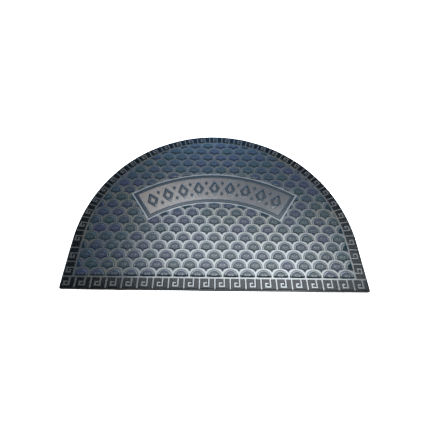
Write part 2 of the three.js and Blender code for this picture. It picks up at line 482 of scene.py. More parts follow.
# A scale's plan is a UV map of this many millimetres. Its masks ease in or out between two
# distances in millimetres, and the fan's sides and middle between two angles in radians.
PLAN = 40
PAD_RIM, PAD_FRONT, FRONT_SLANT = (10.6, 11.4), (-5.8, -5.0), 0.34
GROOVE_IN, GROOVE_OUT, GROOVE_FRONT = (10.8, 11.6), (12.4, 13.2), (-3.0, 0.0)
SKIRT = (4.5, 6.5)
FAN_DROP, FAN_IN, FAN_OUT = 1.5, (2.6, 4.6), (6.8, 9.0)
FAN_PITCH, FAN_SIDES, FAN_MIDDLE = 10, (0.75, 1.0), (0.1, 0.4)


def pile_grain(graph, settings):
    """The slow drift of a pile, its fibres and its ribs."""
    drift = graph.noise(DRIFT)
    return drift, graph.noise(FIBRE, 2, ALONG), graph.ribs(drift, settings.finish.rib)


def melted_shade(graph, finish):
    """The colour of melted pile, which is warmer in large soft patches."""
    warm = graph.ease(graph.noise(WARM_PATCH), *WARM_EDGE)
    return graph.blend(warm, finish.pressed, finish.pressed_warm)


def ribbed_pile(name, settings, dark, gloss, relief):
    """Raised pile: ribs along Y with painted shade between them, dark on top and lighter at its
    foot.
    """
    mat, finish = settings.mat, settings.finish
    graph = MaterialGraph(name)
    raised = graph.ease(graph.z, mat.pressed_top + 0.1 * MM, mat.block_top - 0.3 * MM)
    _, fibre, rib = pile_grain(graph, settings)
    top = graph.blend(fibre * 0.06, dark, finish.pressed)
    tinted = graph.blend(raised, finish.pressed, top)
    # Painted shade: the pile is darkened between its ribs, in the grooves.
    shade = graph.blend((1 - rib) * 0.35 * raised, tinted, BLACK)
    roughness = 0.24 + raised * (1 - raised) * 0.7 + fibre * 0.04
    normal = graph.bump(rib * relief + fibre * 0.4)
    return graph.close(graph.surface(shade, roughness, normal, gloss))


def key_pile(settings):
    """The near black pile of the border's blocks."""
    return ribbed_pile("key_pile", settings, settings.finish.key_pile, 0.19, 0.9)


def frame_pile(settings):
    """The slate grey pile of the panel's frame and lozenges."""
    return ribbed_pile("frame_pile", settings, settings.finish.frame_pile, 0.5, 0.4)


def fan_strokes(graph, u, v):
    """Short strokes that fan out over a scale's pad, weaker in the middle."""
    v = v + FAN_DROP
    turn = graph.math("ARCTAN2", u, v)
    slant = graph.math("ABSOLUTE", turn)
    reach = graph.reach(u, v)
    stroke = graph.math("COSINE", turn * FAN_PITCH) * 0.5 + 0.5
    ring = graph.ease(reach, *FAN_IN) * (1 - graph.ease(reach, *FAN_OUT))
    sides = (1 - graph.ease(slant, *FAN_SIDES)) * (graph.ease(slant, *FAN_MIDDLE) * 0.6 + 0.4)
    return stroke * stroke * ring * sides


def scale_pile(settings):
    """The pile of the scales: dull blue and green black pads with a fan pressed into each,
    in a lighter, half pressed web with a melted groove round the pad, and painted shade
    between the pile's ribs."""
    finish = settings.finish
    graph = MaterialGraph("scale_pile")
    drift, fibre, rib = pile_grain(graph, settings)
    plan = graph.node("ShaderNodeUVMap", {"uv_map": "scale_plan"}, {}, "UV")
    across, up, _ = graph.split(plan)
    u, v = (across - 0.5) * PLAN, (up - 0.5) * PLAN
    from_arc = graph.reach(u, v)
    front = v - graph.math("ABSOLUTE", u) * FRONT_SLANT
    raised = (1 - graph.ease(from_arc, *PAD_RIM)) * graph.ease(front, *PAD_FRONT)
    fan = fan_strokes(graph, u, v) * raised
    groove = graph.ease(from_arc, *GROOVE_IN) * (1 - graph.ease(from_arc, *GROOVE_OUT))
    groove = groove * graph.ease(v, *GROOVE_FRONT)
    skirt = graph.ease(0.0 - v, *SKIRT)
    web = 0.92 - groove * 0.7 + skirt * 0.08
    dull = raised * (1 - fan * 0.8) + (1 - raised) * web
    tint = graph.node("ShaderNodeAttribute", {"attribute_name": "tint"}, {}, "Fac")
    stops = list(zip((0.2, 0.5, 0.85), (finish.pad_green, finish.pad, finish.pad_blue)))
    hue = {"Fac": tint * 0.8 + drift * 0.2}
    top = graph.node("ShaderNodeValToRGB", {"stops": stops}, hue, "Color")
    # Painted shade: the pile is darkened between its ribs, in the grooves.
    shade = graph.blend((1 - rib) * 0.4, top, BLACK)
    normal = graph.bump(rib * 0.4 + fibre * 0.4 - fan * 0.8)
    pile = graph.surface(shade, 0.34 + fibre * 0.08 + skirt * 0.2, normal, 0.38)
    melted = graph.surface(melted_shade(graph, finish), 0.24 + fibre * 0.1, normal, 1.0)
    return graph.close(graph.mix(dull, melted, pile))


def panel_masks(graph, panel):
    """1 on the arched panel, 1 on its pressed outline alone, and the angle from its middle."""
    east = graph.x - panel.centre_x
    north = graph.y - (SHEET_LOW.y - panel.centre_drop)
    reach = graph.reach(east, north)
    turn = graph.math("ARCTAN2", east, north)

    def inside(inset):
        ring = (reach > panel.inner + inset) * (reach < panel.outer - inset)
        end = panel.half_angle - inset / panel.outer
        return ring * (graph.math("ABSOLUTE", turn) < end)

    whole = inside(-panel.line / 2)
    return whole, whole * (1 - inside(panel.line / 2 + 0.5 * MM)), turn


def pressed_pile(settings):
    """Pile that was melted flat: glossy, with the ghosts of its ribs and threads. On the panel
    it is painted lighter as painted light, most at the left end, where it is warm, and cool at
    the right; the panel's outline is painted lighter still."""
    finish, panel = settings.finish, settings.panel
    graph = MaterialGraph("pressed_pile")
    drift = graph.noise(MELTED_DRIFT)
    fibre = graph.noise(MELTED_FIBRE, 3, MELTED_ALONG)
    mottle = graph.noise(MOTTLE, 3)
    rib = graph.ribs(drift, finish.rib)
    on_panel_ground, on_outline, turn = panel_masks(graph, panel)
    # Painted light: the panel's ground is painted lighter than the other pressed pile, lightest at
    # its left end.
    share = graph.ease(turn + (drift - 0.5) * 0.4, -panel.half_angle, panel.half_angle)
    ground = graph.blend(share, finish.ground_left, finish.ground_right)
    base = graph.blend(on_panel_ground, melted_shade(graph, finish), ground)
    # Painted light: the panel's pressed outline is painted lighter still.
    base = graph.blend(on_outline, base, finish.outline)
    base = graph.blend(mottle * 0.2, base, finish.pad)
    shade = graph.blend((1 - rib) * 0.12, base, BLACK)
    roughness = 0.22 + mottle * 0.08 + fibre * 0.06 - on_panel_ground * share * 0.04
    normal = graph.bump(rib * 0.15 + fibre * 0.15 + mottle * 0.3)
    return graph.close(graph.surface(shade, roughness, normal, 1.0))


def pvc_sheet(settings):
    """PVC: near black, satin, with a fine grain and a lozenge grip pattern underneath."""
    graph = MaterialGraph("pvc_sheet")
    scuff = graph.noise(PVC_SCUFF, 4)
    under = 1 - graph.ease(graph.z, 0.05 * MM, 0.2 * MM)
    step = 2 * math.pi / GRIP
    grip = graph.math("SINE", (graph.x + graph.y) * step)
    grip = grip * graph.math("SINE", (graph.x - graph.y) * step)
    shade = graph.blend(scuff * 0.25, settings.finish.sheet, settings.finish.scuff)
    normal = graph.bump(graph.noise(PVC_GRAIN) * 0.15 + grip * under, 0.12 * MM)
    return graph.close(graph.surface(shade, 0.22 + scuff * 0.1, normal, 0.27))


def pale_floor(settings):
    """A plain pale floor with the faintest unevenness."""
    graph = MaterialGraph("pale_floor")
    cloud = graph.noise(FLOOR_CLOUD)
    shade = graph.blend(cloud * 0.06, settings.finish.floor, settings.finish.floor_cloud)
    normal = graph.bump(graph.noise(FLOOR_GRAIN), 0.02 * MM)
    glow = settings.stage.floor_glow
    return graph.close(graph.surface(shade, 0.6 + cloud * 0.1, normal, glow=glow))


def finish_of(make, settings):
    """The material that a function makes, made the first time that it is asked for."""
    return bpy.data.materials.get(make.__name__) or make(settings)


# Meshes

MOST_SMOOTH_CORNERS = 8
SHEET_CREASE, CREASE, FRAME_CREASE = 50, 20, 15


def add_object(name, data, material=None):
    """Adds an object to the scene, at the origin."""
    made = bpy.data.objects.new(name, data)
    bpy.context.scene.collection.objects.link(made)
    if material:
        data.materials.clear()
        data.materials.append(material)
    return made


def add_piece(name, mesh, material, node="face"):
    """Adds a finished piece on the part's body, in place of its CAD node."""
    piece = add_object(name, mesh, material)
    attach(piece, "root")
    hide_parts(node)


def mesh_of(name, form, crease=None):
    """A mesh from a bmesh, with its faces turned outwards and its large level ones flat. Its
    shading breaks at edges sharper than a crease in degrees, if one is given."""
    bmesh.ops.recalc_face_normals(form, faces=form.faces)
    form.normal_update()
    for face in form.faces:
        face.smooth = len(face.verts) <= MOST_SMOOTH_CORNERS
    if crease:
        limit = math.radians(crease)
        for edge in form.edges:
            edge.smooth = len(edge.link_faces) == 2 and edge.calc_face_angle(0) < limit
    mesh = bpy.data.meshes.new(name)
    form.to_mesh(mesh)
    form.free()
    return mesh


def wall(form, rings, round_trip=False):
    """Adds faces between rings of equally many points, and gives the rings' corners. On a round
    trip the last ring is joined to the first."""
    rows = [[form.verts.new(point) for point in ring] for ring in rings]
    for low, high in zip(rows, rows[1:] + rows[:1] if round_trip else rows[1:]):
        for i, corner in enumerate(low):
            j = (i + 1) % len(low)
            form.faces.new((corner, low[j], high[j], high[i]))
    return rows


def loft(rings, round_trip=False):
    """A closed form over rings of points, capped unless it is a round trip."""
    form = bmesh.new()
    rows = wall(form, rings, round_trip)
    if not round_trip:
        form.faces.new(rows[0][::-1])
        form.faces.new(rows[-1])
    return form


def run_tree(name, tree, inputs):
    """The mesh that a Geometry Nodes tree makes with these named inputs."""
    holder = add_object(name, bpy.data.meshes.new(name))
    modifier = holder.modifiers.new("nodes", "NODES")
    modifier.node_group = tree
    for item in tree.interface.items_tree:
        if item.in_out == "INPUT" and item.name in inputs:
            modifier[item.identifier] = inputs[item.name]
    holder.update_tag()
    bpy.context.view_layer.update()
    ready = bpy.context.evaluated_depsgraph_get()
    mesh = bpy.data.meshes.new_from_object(holder.evaluated_get(ready), depsgraph=ready)
    bpy.data.objects.remove(holder)
    mesh.name = name
    return mesh


def without_crumbs(mesh, smallest):
    """Drops the closed islands of a mesh that hold less than a volume."""
    form = bmesh.new()
    form.from_mesh(mesh)
    unseen = dict.fromkeys(form.faces)
    crumbs = []
    while unseen:
        island = [unseen.popitem()[0]]
        for face in island:
            for other in (other for edge in face.edges for other in edge.link_faces):
                if other in unseen:
                    del unseen[other]
                    island.append(other)
        volume = sum(face.verts[0].co.dot(face.normal) * face.calc_area() for face in island) / 3
        if volume < smallest:
            crumbs += dict.fromkeys(corner for face in island for corner in face.verts)
    bmesh.ops.delete(form, geom=crumbs, context="VERTS")
    form.to_mesh(mesh)
    form.free()
    return mesh


def joined(name, meshes):
    """One mesh from several."""
    form = bmesh.new()
    for mesh in meshes:
        form.from_mesh(mesh)
    made = bpy.data.meshes.new(name)
    form.to_mesh(made)
    form.free()
    return made


# Outlines

CORNER_STEPS, EDGE_STEPS, SIDE_STEPS, ARC_STEPS, PANEL_STEPS = 6, 60, 8, 180, 48

# The edge's faint waves: the share of each, its turns along X and Y, and its start.
WAVES = ((1.0, 31, 0, 1.3), (0.7, 57, -43, 0), (0.4, 0, 140, 0))

# The straight edge's bulge: its place, its width and its share. It shows below a Y only.
BULGE_X, BULGE_WIDTH, BULGE_SHARE = -182 * MM, 7 * MM, 2.4
BULGE_BELOW = -150 * MM


def arc_y_of(mat):
    """How far along Y the centre of the round edge lies."""
    return SHEET_LOW.y + mat.depth - mat.width / 2


def waver(mat, x, y):
    """How far the mat's edge strays at a place: long faint waves, and one small bulge of the
    straight edge."""
    waves = sum(
        share * math.sin(by_x * x + by_y * y + start) for share, by_x, by_y, start in WAVES
    )
    bulge = math.exp(-(((x - BULGE_X) / BULGE_WIDTH) ** 2)) if y < BULGE_BELOW else 0
    return mat.waver * (waves / sum(wave[0] for wave in WAVES) + BULGE_SHARE * bulge)


def half_round(mat, inset, bottom_inset=None, wavy=False):
    """The mat's outline, drawn in by one distance at the round edge and the sides and by
    another at the straight edge, anticlockwise, as X and Y."""
    radius = mat.width / 2 - inset
    arc_y = arc_y_of(mat)
    bottom = SHEET_LOW.y + (inset if bottom_inset is None else bottom_inset)
    corner = max(mat.corner - inset, MM)
    low = bottom + corner
    outline = []

    def add(x, y, out_x, out_y):
        stray = waver(mat, x, y) if wavy else 0
        outline.append((x + out_x * stray, y + out_y * stray))

    def add_arc(x, y, reach, start, degrees, steps):
        for i in range(steps + 1):
            turn = math.radians(start + degrees * i / steps)
            out_x, out_y = math.cos(turn), math.sin(turn)
            add(x + reach * out_x, y + reach * out_y, out_x, out_y)

    add_arc(corner - radius, low, corner, 180, 90, CORNER_STEPS)
    for i in range(1, EDGE_STEPS):
        add((radius - corner) * (2 * i / EDGE_STEPS - 1), bottom, 0, -1)
    add_arc(radius - corner, low, corner, 270, 90, CORNER_STEPS)
    for i in range(1, SIDE_STEPS):
        add(radius, low + (arc_y - low) * i / SIDE_STEPS, 1, 0)
    add_arc(0, arc_y, radius, 0, 180, ARC_STEPS)
    for i in range(1, SIDE_STEPS):
        add(-radius, arc_y - (arc_y - low) * i / SIDE_STEPS, -1, 0)
    return outline


def at_height(outline, height):
    """An outline lifted to a height."""
    return [(x, y, height) for x, y in outline]


def arch(panel, inset):
    """The arched panel's outline, drawn in by a distance on all four sides."""
    centre_y = SHEET_LOW.y - panel.centre_drop
    outline = []
    for radius, way in ((panel.outer - inset, -1), (panel.inner + inset, 1)):
        end = panel.half_angle - math.asin(inset / radius)
        for i in range(PANEL_STEPS + 1):
            turn = way * end * (2 * i / PANEL_STEPS - 1)
            x, y = radius * math.sin(turn), radius * math.cos(turn)
            outline.append((panel.centre_x + x, centre_y + y))
    return outline


# Sheet and pressed face

# The sheet's edge from its underside up and over the rim: inset and height in millimetres.
SHEET_EDGE = (
    (0.9, 0.0), (0.3, 0.15), (0.0, 0.6), (0.0, 2.3), (0.15, 2.9), (0.55, 3.3),
    (1.0, 3.4), (2.4, 3.45), (3.1, 3.4), (3.4, 3.2), (3.4, 2.0),
)

# The pressed face's gap to the rim and to the sheet, and its bevel inwards and downwards.
FACE_GAP, FACE_LIFT = 0.05 * MM, 0.02 * MM
FACE_BEVEL, FACE_BEVEL_DROP = 0.3 * MM, 0.25 * MM


# Greek key border

BLOCK_STEP = 7 * MM
SHOULDER_SEGMENTS, SHOULDER_PROFILE = 2, 0.6

# The straight edge's blocks end before the run's arc, so any radius will do for them.
STRAIGHT_RADIUS = 1.0


def key_block_outline(border, band, left, right, outer):
    """The raised block between two ticks with its hook pressed in, as lengths along the
    border line and heights over it. The hook rises from the line, runs along the edge, turns
    back and then inwards."""
    stem, upright, outer_bar, inner_bar = band
    half = border.key_line / 2
    foot = border.line / 2
    way = math.copysign(1, upright - stem)
    bar_end = upright - way * border.bar_end
    groove = [
        (stem + way * half, foot),
        (stem + way * half, outer_bar - half),
        (upright - way * half, outer_bar - half),
        (upright - way * half, inner_bar + half),
        (bar_end, inner_bar + half),
        (bar_end, inner_bar - half),
        (upright + way * half, inner_bar - half),
        (upright + way * half, outer_bar + half),
        (stem - way * half, outer_bar + half),
        (stem - way * half, foot),
    ]
    if way > 0:
        groove.reverse()
    return [(left, foot), *groove, (right, foot), (right, outer), (left, outer)]


def key_block(settings, outline):
    """A key block as a mesh, standing on its root with a rounded shoulder."""
    mat = settings.mat
    form = bmesh.new()
    points = []
    for (x0, y0), (x1, y1) in zip(outline, outline[1:] + outline[:1]):
        steps = max(1, round(math.hypot(x1 - x0, y1 - y0) / BLOCK_STEP))
        for i in range(steps):
            points.append((x0 + (x1 - x0) * i / steps, y0 + (y1 - y0) * i / steps))
    foot = form.faces.new([form.verts.new(point) for point in at_height(points, mat.root)])
    made = bmesh.ops.extrude_face_region(form, geom=[foot])
    lifted = [part for part in made["geom"] if isinstance(part, bmesh.types.BMVert)]
    bmesh.ops.translate(form, verts=lifted, vec=(0, 0, mat.block_top - mat.root))
    top = [edge for edge in form.edges if all(v.co.z > mat.pressed_top for v in edge.verts)]
    bmesh.ops.bevel(
        form, geom=top, offset=settings.border.shoulder, affect="EDGES",
        segments=SHOULDER_SEGMENTS, profile=SHOULDER_PROFILE,
    )
    return mesh_of("key_block", form, CREASE)


def key_run_tree():
    """A run of equal blocks along a band, bent from a straight stretch into an arc and out
    again. Lengths run along Y at first and heights along X."""
    floats = ["Pitch", "Start", "Straight", "Radius"]
    graph = MeshGraph("key_run", Object=["Block"], Int=["Count"], Float=floats)
    given, radius = graph.given, graph.given("Radius")
    line = graph.node("GeometryNodeMeshLine", {"mode": "OFFSET"}, {
        "Count": given("Count"),
        "Start Location": graph.vector(given("Start")),
        "Offset": graph.vector(given("Pitch")),
    })
    along, height, z = graph.split(graph.node("GeometryNodeInputPosition"))
    reach = height + radius
    past = along - given("Straight")
    arc = radius * math.pi
    turn = graph.math("MINIMUM", graph.math("MAXIMUM", past, 0), arc) / radius
    before = graph.math("MINIMUM", past, 0)
    after = graph.math("MAXIMUM", past - arc, 0)
    y = reach * graph.math("SINE", turn) + before - after
    bent = graph.vector(reach * graph.math("COSINE", turn), y, z)
    blocks = graph.moved(graph.realized(graph.copies(line, given("Block"))), bent)
    return graph.close(graph.node("GeometryNodeFlipFaces", {}, {"Mesh": blocks}))


# Fish scales

# Steps along a scale's hollow quarter circles and along its half circle.
QUARTER_STEPS, HALF_STEPS = 4, 8

# Along Y from the centre of a scale's arc: its crown and the shoulders of its foot and pad.
# The bend is the power by which the front edges of both curve.
CROWN_Y = 2.5 * MM
FOOT_SHOULDER, PAD_SHOULDER, PAD_BEND = -1.2 * MM, -0.4 * MM, 0.8

# How far a scale's top edge stands inside its root, at the sides and at the tip.
EDGE_INSET, EDGE_TIP_INSET = 0.3 * MM, 0.6 * MM

# The pressed line's width round a scale, as a share of its setting, and what its flanks add.
LINE_SHARE, FLANK_SHARE = 0.85, 0.4

# How far past the field the grid of scales goes, what the cut may leave as crumbs, and the
# fewest faces of a field that came out whole.
FIELD_SPARE = 2 * MM
SMALLEST_CRUMB = 5 * MM ** 3
FEWEST_FACES = 1000


def closed_contour(right, over):
    """A symmetric outline: from its lower tip up its right side, over its top and back."""
    return right + over + [(-x, y) for x, y in reversed(right[1:])]


def scale_contour(scale, inset, tip):
    """A line inside a scale's outline, about the centre of its arc: a half circle over two
    hollow quarter circles. The pressed line beside it is widest on the flanks."""
    radius = scale.pitch / 2

    def inset_at(cosine):
        slant = 2 * cosine * math.sqrt(max(1 - cosine * cosine, 0))
        return inset + scale.line / 2 * (LINE_SHARE + FLANK_SHARE * abs(slant))

    def hollow_y(x):
        reach = radius + inset_at(1 - x / radius)
        return -scale.row + math.sqrt(reach * reach - (radius - x) ** 2)

    corner = radius - inset_at(1)
    right = []
    for i in range(QUARTER_STEPS):
        share = i / QUARTER_STEPS
        lift = (tip - hollow_y(0)) * (1 - share) ** 2
        right.append((corner * share, hollow_y(corner * share) + lift))
    over = []
    for i in range(HALF_STEPS + 1):
        turn = math.pi * i / HALF_STEPS
        reach = radius - inset_at(math.cos(turn))
        y = reach * math.sin(turn) if 0 < i < HALF_STEPS else min(hollow_y(corner), 0)
        over.append((reach * math.cos(turn), y))
    return closed_contour(right, over)


def pad_contour(width, height, tip, shoulder):
    """The outline of a scale's pad: a half ellipse over a wide, shallow V."""
    shares = [i / QUARTER_STEPS for i in range(QUARTER_STEPS)]
    turns = [math.pi * i / HALF_STEPS for i in range(HALF_STEPS + 1)]
    rise = height - shoulder
    return closed_contour(
        [(width * share, tip + (shoulder - tip) * share ** PAD_BEND) for share in shares],
        [(width * math.cos(turn), shoulder + rise * math.sin(turn)) for turn in turns],
    )


def scale_mesh(settings):
    """One scale: a low shield that rises to a pad with a sloping front, with few faces."""
    mat, scale = settings.mat, settings.scale
    edge = scale_contour(scale, EDGE_INSET, EDGE_TIP_INSET - scale.tip)
    foot = pad_contour(scale.foot_side, scale.foot_side, -scale.foot_tip, FOOT_SHOULDER)
    pad = pad_contour(scale.pad_side, scale.pad_top, -scale.pad_tip, PAD_SHOULDER)
    form = bmesh.new()
    rows = wall(form, [
        at_height(scale_contour(scale, 0, -scale.tip), mat.root),
        at_height(edge, scale.edge_top),
        at_height(foot, scale.foot_top),
        [(x, y, scale.pad_edge - max(y, 0) * scale.pad_fall) for x, y in pad],
    ])
    crown = form.verts.new((0, CROWN_Y, mat.pile_top))
    for here, after in zip(rows[-1], rows[-1][1:] + rows[-1][:1]):
        form.faces.new((here, after, crown))
    form.faces.new(rows[0][::-1])
    plan = form.loops.layers.uv.new("scale_plan")
    for loop in (loop for face in form.faces for loop in face.loops):
        loop[plan].uv = loop.vert.co.xy / (PLAN * MM) + Vector((0.5, 0.5))
    return mesh_of("scale", form, CREASE)


def scale_field_tree():
    """Scales on a staggered grid, each with a tint of its own, cut off at the field's edge and
    at the panel."""
    graph = MeshGraph(
        "scale_field",
        Object=["Scale", "Field", "Panel"],
        Int=["Rows", "Columns", "Seed"],
        Float=["Pitch", "Row", "First Row", "Offset", "Reach", "Arc Y"],
    )
    given = graph.given
    pitch, row, columns, rows = map(given, ("Pitch", "Row", "Columns", "Rows"))
    depth = row * (rows - 1)
    grid = graph.node("GeometryNodeMeshGrid", {}, {
        "Size X": pitch * (columns - 1), "Size Y": depth,
        "Vertices X": columns, "Vertices Y": rows,
    }, "Mesh")
    x, y, _ = graph.split(graph.node("GeometryNodeInputPosition"))
    height = y + depth * 0.5
    odd = graph.math("MODULO", graph.math("ROUND", height / row), 2)
    place = graph.vector(x + odd * pitch * 0.5 + given("Offset"), height + given("First Row"))
    over_arc = graph.math("MAXIMUM", y - given("Arc Y"), 0)
    kept = graph.node("GeometryNodeDeleteGeometry", {"domain": "POINT"}, {
        "Geometry": graph.moved(grid, place),
        "Selection": graph.reach(x, over_arc) > given("Reach"),
    })
    chance = graph.node(
        "FunctionNodeRandomValue",
        {"data_type": "FLOAT"},
        {"Min": 0.0, "Max": 1.0, "Seed": given("Seed")},
        "Value",
    )
    tinted = graph.node(
        "GeometryNodeStoreNamedAttribute",
        {"data_type": "FLOAT", "domain": "INSTANCE"},
        {"Geometry": graph.copies(kept, given("Scale")), "Name": "tint", "Value": chance},
    )
    parts = [graph.realized(tinted), graph.shape_of(given("Field"))]
    inside = graph.cut("INTERSECT", {"Mesh": parts})
    panel = graph.shape_of(given("Panel"))
    return graph.close(graph.cut("DIFFERENCE", {"Mesh 1": inside, "Mesh 2": panel}))


# Panel frame and ornament

# The shoulders of the frame and of a lozenge: inset and drop from the top, in millimetres.
FRAME_SHOULDER = ((0, 1.0), (0.4, 0.45), (1.3, 0.06))
LOZENGE_SHOULDER = ((0, 0.7), (0.28, 0.245), (0.91, 0))
LOZENGE_STEPS, LOZENGE_POWER = 40, 1.07


def lozenge_mesh(settings, name, size, eye=None):
    """A raised lozenge with a rounded shoulder, on its own centre, open in the middle if it
    has an eye."""
    root, top = settings.mat.root, settings.mat.block_top

    def ring(width, height, inset, z):
        shrunk = 1 - inset * math.hypot(width, height) / (width * height)
        points = []
        for i in range(LOZENGE_STEPS):
            turn = 2 * math.pi * i / LOZENGE_STEPS
            c, s = math.cos(turn), math.sin(turn)
            bulk = abs(c / width) ** LOZENGE_POWER + abs(s / height) ** LOZENGE_POWER
            reach = bulk ** (-1 / LOZENGE_POWER) * shrunk
            points.append((reach * c, reach * s, z))
        return points

    def side(width, height, way):
        return [ring(width, height, 0, root)] + [
            ring(width, height, way * inset * MM, top - drop * MM)
            for inset, drop in LOZENGE_SHOULDER
        ]

    rings = side(*size, 1)
    if eye:
        rings += side(*eye, -1)[::-1]
    return mesh_of(name, loft(rings, round_trip=bool(eye)), CREASE)


def ornament_row_tree():
    """Copies of a shape spread evenly over an arc, each turned to the arc's centre."""
    floats = ["Step", "Radius", "Centre X", "Centre Y"]
    graph = MeshGraph("ornament_row", Object=["Shape"], Int=["Count"], Float=floats)
    given = graph.given
    line = graph.node("GeometryNodeMeshLine", {"mode": "OFFSET"}, {"Count": given("Count")})
    index = graph.node("GeometryNodeInputIndex")
    turn = (index - (given("Count") - 1) * 0.5) * given("Step")
    bent = graph.moved(line, graph.vector(
        given("Centre X") + given("Radius") * graph.math("SINE", turn),
        given("Centre Y") + given("Radius") * graph.math("COSINE", turn),
    ))
    facing = graph.vector(z=turn * -1)
    return graph.close(graph.realized(graph.copies(bent, given("Shape"), Rotation=facing)))


# Operators

FLOOR_CUTS, FLOOR_DROP = 12, 0.1 * MM
SENSOR, NEAR = 36, 0.01
UPRIGHT = math.pi / 2


class DOORMAT_OT_stage(Operator):
    """Sets up the floor, the lights and the camera"""

    bl_idname = "doormat.stage"
    bl_label = "Stage"

    def execute(self, context):
        scene = context.scene
        settings, stage = scene.doormat, scene.doormat.stage
        scene.view_settings.view_transform = "Standard"
        form = bmesh.new()
        cuts, half = FLOOR_CUTS, stage.floor_size / 2
        bmesh.ops.create_grid(form, x_segments=cuts, y_segments=cuts, size=half)
        floor = add_object("floor", mesh_of("floor", form), finish_of(pale_floor, settings))
        floor.location.z = -FLOOR_DROP

        scene.world = bpy.data.worlds.new("studio")
        scene.world.use_nodes = True
        graph = Graph(scene.world.node_tree)
        sky, paper = (
            graph.node("ShaderNodeBackground", {}, {"Color": tone, "Strength": strength})
            for tone, strength in ((stage.sky, stage.sky_strength), (WHITE, 1.0))
        )
        seen = graph.node("ShaderNodeLightPath", {}, {}, "Is Camera Ray")
        graph.node("ShaderNodeOutputWorld", {}, {"Surface": graph.mix(seen, sky, paper)})

        for name, width, depth, power, place in (
            ("key_light", stage.key_width, stage.key_depth, stage.key_power, stage.key_place),
            ("side_light", stage.side_width, stage.side_depth, stage.side_power, stage.side_place),
        ):
            lamp = bpy.data.lights.new(name, "AREA")
            lamp.shape = "RECTANGLE"
            lamp.size, lamp.size_y = width, depth
            lamp.energy, lamp.color = power, stage.key
            hung = add_object(name, lamp)
            hung.location = place
            hung.rotation_euler.z = stage.key_turn
        sun = bpy.data.lights.new("back_light", "SUN")
        sun.energy, sun.color, sun.angle = stage.back_strength, stage.back, stage.back_spread
        behind = add_object("back_light", sun)
        behind.rotation_euler = Vector(stage.back_from).to_track_quat("Z", "Y").to_euler()

        lens = bpy.data.cameras.new("camera")
        lens.lens, lens.sensor_width = stage.lens, SENSOR
        lens.shift_x, lens.clip_start = stage.shift, NEAR
        scene.camera = add_object("camera", lens)
        scene.camera.matrix_world = (
            Matrix.Translation(stage.camera)
            @ Matrix.Rotation(stage.yaw, 4, "Z")
            @ Matrix.Rotation(UPRIGHT - stage.pitch, 4, "X")
            @ Matrix.Rotation(stage.roll, 4, "Z")
        )
        return {"FINISHED"}


class DOORMAT_OT_backing(Operator):
    """Builds the PVC sheet, whose bare edge stands up round the face"""

    bl_idname = "doormat.backing"
    bl_label = "PVC sheet"

    def execute(self, context):
        settings = context.scene.doormat
        rings = [
            at_height(half_round(settings.mat, inset * MM, wavy=True), height * MM)
            for inset, height in SHEET_EDGE
        ]
        mesh = mesh_of("backing_sheet", loft(rings), SHEET_CREASE)
        sheet = finish_of(pvc_sheet, settings)
        add_piece("backing_sheet", mesh, sheet, "backing")
        return {"FINISHED"}


class DOORMAT_OT_pressed_face(Operator):
    """Builds the pressed face, which is the ground of the whole pattern"""

    bl_idname = "doormat.pressed_face"
    bl_label = "Pressed face"

    def execute(self, context):
        settings = context.scene.doormat
        mat = settings.mat
        side = mat.rim + FACE_GAP
        rings = [
            at_height(half_round(mat, inset, wavy=True), height)
            for inset, height in (
                (side, mat.sheet_top + FACE_LIFT),
                (side, mat.pressed_top - FACE_BEVEL_DROP),
                (side + FACE_BEVEL, mat.pressed_top),
            )
        ]
        mesh = mesh_of("pressed_face", loft(rings), CREASE)
        add_piece("pressed_face", mesh, finish_of(pressed_pile, settings))
        return {"FINISHED"}


class DOORMAT_OT_key_border(Operator):
    """Builds the raised blocks of the Greek key border"""

    bl_idname = "doormat.key_border"
    bl_label = "Key border"

    def execute(self, context):
        settings = context.scene.doormat
        mat, border = settings.mat, settings.border
        gap = border.key_line / 2
        tree, pile = key_run_tree(), finish_of(key_pile, settings)
        meshes = []

        def add_run(outline, units, pitch, start, straight, radius, place):
            block = add_object("key_block", key_block(settings, outline))
            mesh = run_tree("key_run", tree, {
                "Block": block, "Count": units, "Pitch": pitch, "Start": start,
                "Straight": straight, "Radius": radius, "Material": pile,
            })
            bpy.data.objects.remove(block)
            mesh.transform(place)
            meshes.append(mesh)

        band = (
            border.bottom_stem, border.bottom_upright,
            border.bottom_outer_bar, border.bottom_inner_bar,
        )
        pitch, last = border.bottom_pitch, border.bottom_count - 1
        line_y = SHEET_LOW.y + border.bottom_depth
        outer = border.bottom_depth - mat.rim
        place = Matrix.Translation((mat.width / 2, line_y + STRAIGHT_RADIUS, 0))
        place = place @ Matrix.Rotation(-math.pi / 2, 4, "Z")
        for left, right, start, units in (
            (mat.rim, pitch - gap, 0, 1),
            (gap, pitch - gap, pitch, last - 1),
            (gap, pitch - mat.rim, pitch * last, 1),
        ):
            outline = key_block_outline(border, band, left, right, outer)
            add_run(outline, units, pitch, start, mat.width, STRAIGHT_RADIUS, place)

        band = (
            border.side_stem, border.side_upright, border.side_outer_bar, border.side_inner_bar,
        )
        radius = mat.width / 2 - border.side_depth
        outer = border.side_depth - mat.rim
        straight = arc_y_of(mat) - line_y
        place = Matrix.Translation((0, arc_y_of(mat), 0))
        equal = border.side_count * border.side_pitch
        rest = 2 * straight + math.pi * radius - equal - border.side_wide_pitch
        start = 0
        for units, pitch in (
            (border.side_count, border.side_pitch),
            (1, border.side_wide_pitch),
            (border.side_last_count, rest / border.side_last_count),
        ):
            outline = key_block_outline(border, band, gap, pitch - gap, outer)
            add_run(outline, units, pitch, start, straight, radius, place)
            start += units * pitch
        add_piece("key_border", joined("key_border", meshes), pile)
        return {"FINISHED"}


